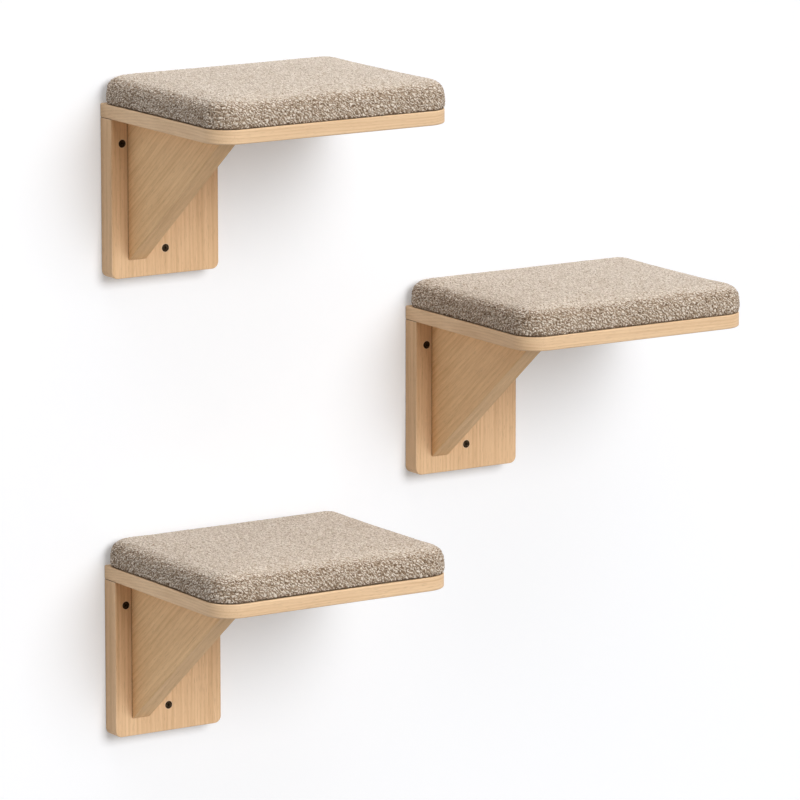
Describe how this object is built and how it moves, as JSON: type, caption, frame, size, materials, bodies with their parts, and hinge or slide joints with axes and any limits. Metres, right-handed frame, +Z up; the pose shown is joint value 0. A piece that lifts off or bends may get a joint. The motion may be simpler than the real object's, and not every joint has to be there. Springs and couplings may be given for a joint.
{
  "type": "cat climbing wall",
  "caption": "Wall-mounted cat steps: wooden bracket shelves with lift-off boucle cushions, staggered up a wall for a cat to climb and rest on.",
  "frame": {"origin": "middle of the lowest step's back plate, on the face that lies on the wall", "axes": "+Z up, +Y into the wall, +X to the right along the wall as seen from the room"},
  "size_m": [0.788, 0.323, 0.8424],
  "materials": {
    "board_wood": "matt oiled, grain along the board",
    "plate_wood": "matt oiled, upright grain",
    "gusset_wood": "matt oiled, grain along the slope",
    "dowel_wood": "plain beech",
    "black_screw": "blackened",
    "zinc_screw": "zinc plated",
    "plug_nylon": "grey nylon",
    "boucle": "looped boucle pile",
    "foam": "open cell foam",
    "hook_tape": "hook tape",
    "loop_tape": "loop tape"
  },
  "bodies": {
    "root": {"shelf_board_1": "board_wood", "back_plate_1": "plate_wood", "gusset_1": "gusset_wood", "wall_screws_1": "black_screw", "wall_plugs_1": "plug_nylon", "board_screws_1": "zinc_screw", "gusset_screws_1": "zinc_screw", "plate_dowels_1": "dowel_wood", "hook_strips_1": "hook_tape", "shelf_board_2": "board_wood", "back_plate_2": "plate_wood", "gusset_2": "gusset_wood", "wall_screws_2": "black_screw", "wall_plugs_2": "plug_nylon", "board_screws_2": "zinc_screw", "gusset_screws_2": "zinc_screw", "plate_dowels_2": "dowel_wood", "hook_strips_2": "hook_tape", "shelf_board_3": "board_wood", "back_plate_3": "plate_wood", "gusset_3": "gusset_wood", "wall_screws_3": "black_screw", "wall_plugs_3": "plug_nylon", "board_screws_3": "zinc_screw", "gusset_screws_3": "zinc_screw", "plate_dowels_3": "dowel_wood", "hook_strips_3": "hook_tape"},
    "cushion_1": {"cushion_cover_1": "boucle", "cushion_foam_1": "foam", "loop_strips_1": "loop_tape"},
    "cushion_2": {"cushion_cover_2": "boucle", "cushion_foam_2": "foam", "loop_strips_2": "loop_tape"},
    "cushion_3": {"cushion_cover_3": "boucle", "cushion_foam_3": "foam", "loop_strips_3": "loop_tape"}
  },
  "joints": [
    {"name": "cushion_1_lift", "type": "slide", "parent": "root", "child": "cushion_1", "axis": [0, 0, 1], "range_m": [0, 0.12]},
    {"name": "cushion_2_lift", "type": "slide", "parent": "root", "child": "cushion_2", "axis": [0, 0, 1], "range_m": [0, 0.12]},
    {"name": "cushion_3_lift", "type": "slide", "parent": "root", "child": "cushion_3", "axis": [0, 0, 1], "range_m": [0, 0.12]}
  ]
}
